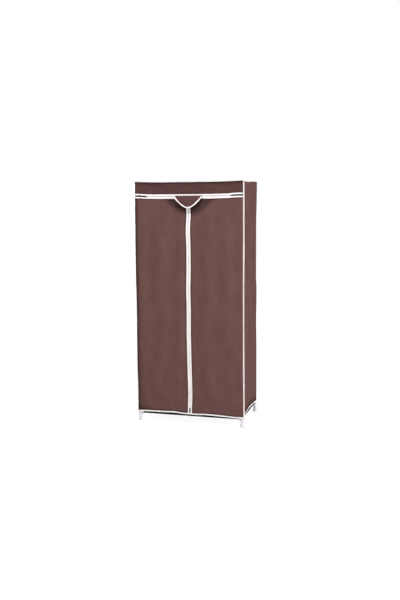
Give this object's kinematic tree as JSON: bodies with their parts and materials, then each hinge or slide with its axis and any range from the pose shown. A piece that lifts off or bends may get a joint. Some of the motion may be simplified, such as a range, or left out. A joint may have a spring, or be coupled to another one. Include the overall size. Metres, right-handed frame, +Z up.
{
  "type": "portable fabric wardrobe",
  "caption": "Free-standing fabric wardrobe: steel tube frame in plastic corner connectors, cloth cover with zipped doors, a flap over the zips, a hanging rail and a cloth base.",
  "frame": {"origin": "on the floor under the middle of the cover", "axes": "+Z up, +X to the right seen from the front, the doors face -Y"},
  "size_m": [0.7418, 0.4574, 1.6033],
  "materials": {
    "white_plastic": "satin moulded",
    "enamelled_tube": "satin powder coat",
    "brown_cloth": "matt non-woven",
    "black_cloth": "matt non-woven",
    "white_tape": "woven tape",
    "white_enamel": "gloss enamel"
  },
  "bodies": {
    "frame_and_cover": {"foot_connector_front_left": "white_plastic", "foot_connector_front_right": "white_plastic", "foot_connector_rear_left": "white_plastic", "foot_connector_rear_right": "white_plastic", "mid_connector_front_left": "white_plastic", "mid_connector_front_right": "white_plastic", "mid_connector_rear_left": "white_plastic", "mid_connector_rear_right": "white_plastic", "top_connector_front_left": "white_plastic", "top_connector_front_right": "white_plastic", "top_connector_rear_left": "white_plastic", "top_connector_rear_right": "white_plastic", "rail_saddle_left": "white_plastic", "rail_saddle_right": "white_plastic", "lower_upright_front_left": "enamelled_tube", "lower_upright_front_right": "enamelled_tube", "lower_upright_rear_left": "enamelled_tube", "lower_upright_rear_right": "enamelled_tube", "upper_upright_front_left": "enamelled_tube", "upper_upright_front_right": "enamelled_tube", "upper_upright_rear_left": "enamelled_tube", "upper_upright_rear_right": "enamelled_tube", "bottom_rail_front": "enamelled_tube", "bottom_rail_rear": "enamelled_tube", "bottom_rail_left": "enamelled_tube", "bottom_rail_right": "enamelled_tube", "mid_rail_left": "enamelled_tube", "mid_rail_right": "enamelled_tube", "mid_rail_rear": "enamelled_tube", "top_rail_front": "enamelled_tube", "top_rail_rear": "enamelled_tube", "top_rail_left": "enamelled_tube", "top_rail_right": "enamelled_tube", "hanging_rail": "enamelled_tube", "bottom_shelf": "black_cloth", "cover_roof": "brown_cloth", "cover_back": "brown_cloth", "cover_left_side": "brown_cloth", "cover_right_side": "brown_cloth", "cover_header": "brown_cloth", "hem_binding": "white_tape", "header_binding": "white_tape", "front_seam_binding_left": "white_tape", "front_seam_binding_right": "white_tape", "front_seam_binding_top": "white_tape", "header_zip_tape": "white_tape"},
    "left_door_panel": {"left_door": "brown_cloth", "left_door_binding": "white_tape", "left_door_zip_tape": "white_tape"},
    "right_door_panel": {"right_door": "brown_cloth", "right_door_binding": "white_tape", "right_door_zip_tape": "white_tape"},
    "flap": {"zip_flap": "brown_cloth", "zip_flap_binding": "white_tape"},
    "left_slider": {"zip_slider_left": "white_enamel"},
    "right_slider": {"zip_slider_right": "white_enamel"},
    "centre_slider": {"zip_slider_centre": "white_enamel"},
    "left_pull": {"zip_pull_left": "white_enamel"},
    "right_pull": {"zip_pull_right": "white_enamel"},
    "centre_pull": {"zip_pull_centre": "white_enamel"}
  },
  "joints": [
    {"name": "left_door_hinge", "type": "hinge", "parent": "frame_and_cover", "child": "left_door_panel", "pos_m": [-0.361, -0.218, 0.781], "axis": [0, 0, -1], "range_deg": [0, 110], "deforming": ["zip_flap", "zip_flap_binding"]},
    {"name": "right_door_hinge", "type": "hinge", "parent": "frame_and_cover", "child": "right_door_panel", "pos_m": [0.361, -0.218, 0.781], "axis": [0, 0, 1], "range_deg": [0, 110], "deforming": ["zip_flap", "zip_flap_binding"]},
    {"name": "flap_hinge", "type": "hinge", "parent": "frame_and_cover", "child": "flap", "pos_m": [0, -0.2191, 1.508], "axis": [-1, 0, 0], "range_deg": [0, 105]},
    {"name": "left_slider_run", "type": "slide", "parent": "frame_and_cover", "child": "left_slider", "axis": [-1, 0, 0], "range_m": [0, 0.2555]},
    {"name": "right_slider_run", "type": "slide", "parent": "frame_and_cover", "child": "right_slider", "axis": [1, 0, 0], "range_m": [0, 0.2555]},
    {"name": "centre_slider_run", "type": "slide", "parent": "right_door_panel", "child": "centre_slider", "axis": [0, 0, -1], "range_m": [0, 1.3615]},
    {"name": "left_pull_hinge", "type": "hinge", "parent": "left_slider", "child": "left_pull", "pos_m": [-0.016, -0.219, 1.503], "axis": [0, 0, 1], "range_deg": [0, 175]},
    {"name": "right_pull_hinge", "type": "hinge", "parent": "right_slider", "child": "right_pull", "pos_m": [0.016, -0.219, 1.503], "axis": [0, 0, -1], "range_deg": [0, 175]},
    {"name": "centre_pull_hinge", "type": "hinge", "parent": "centre_slider", "child": "centre_pull", "pos_m": [0, -0.219, 1.474], "axis": [-1, 0, 0], "range_deg": [0, 175]}
  ]
}
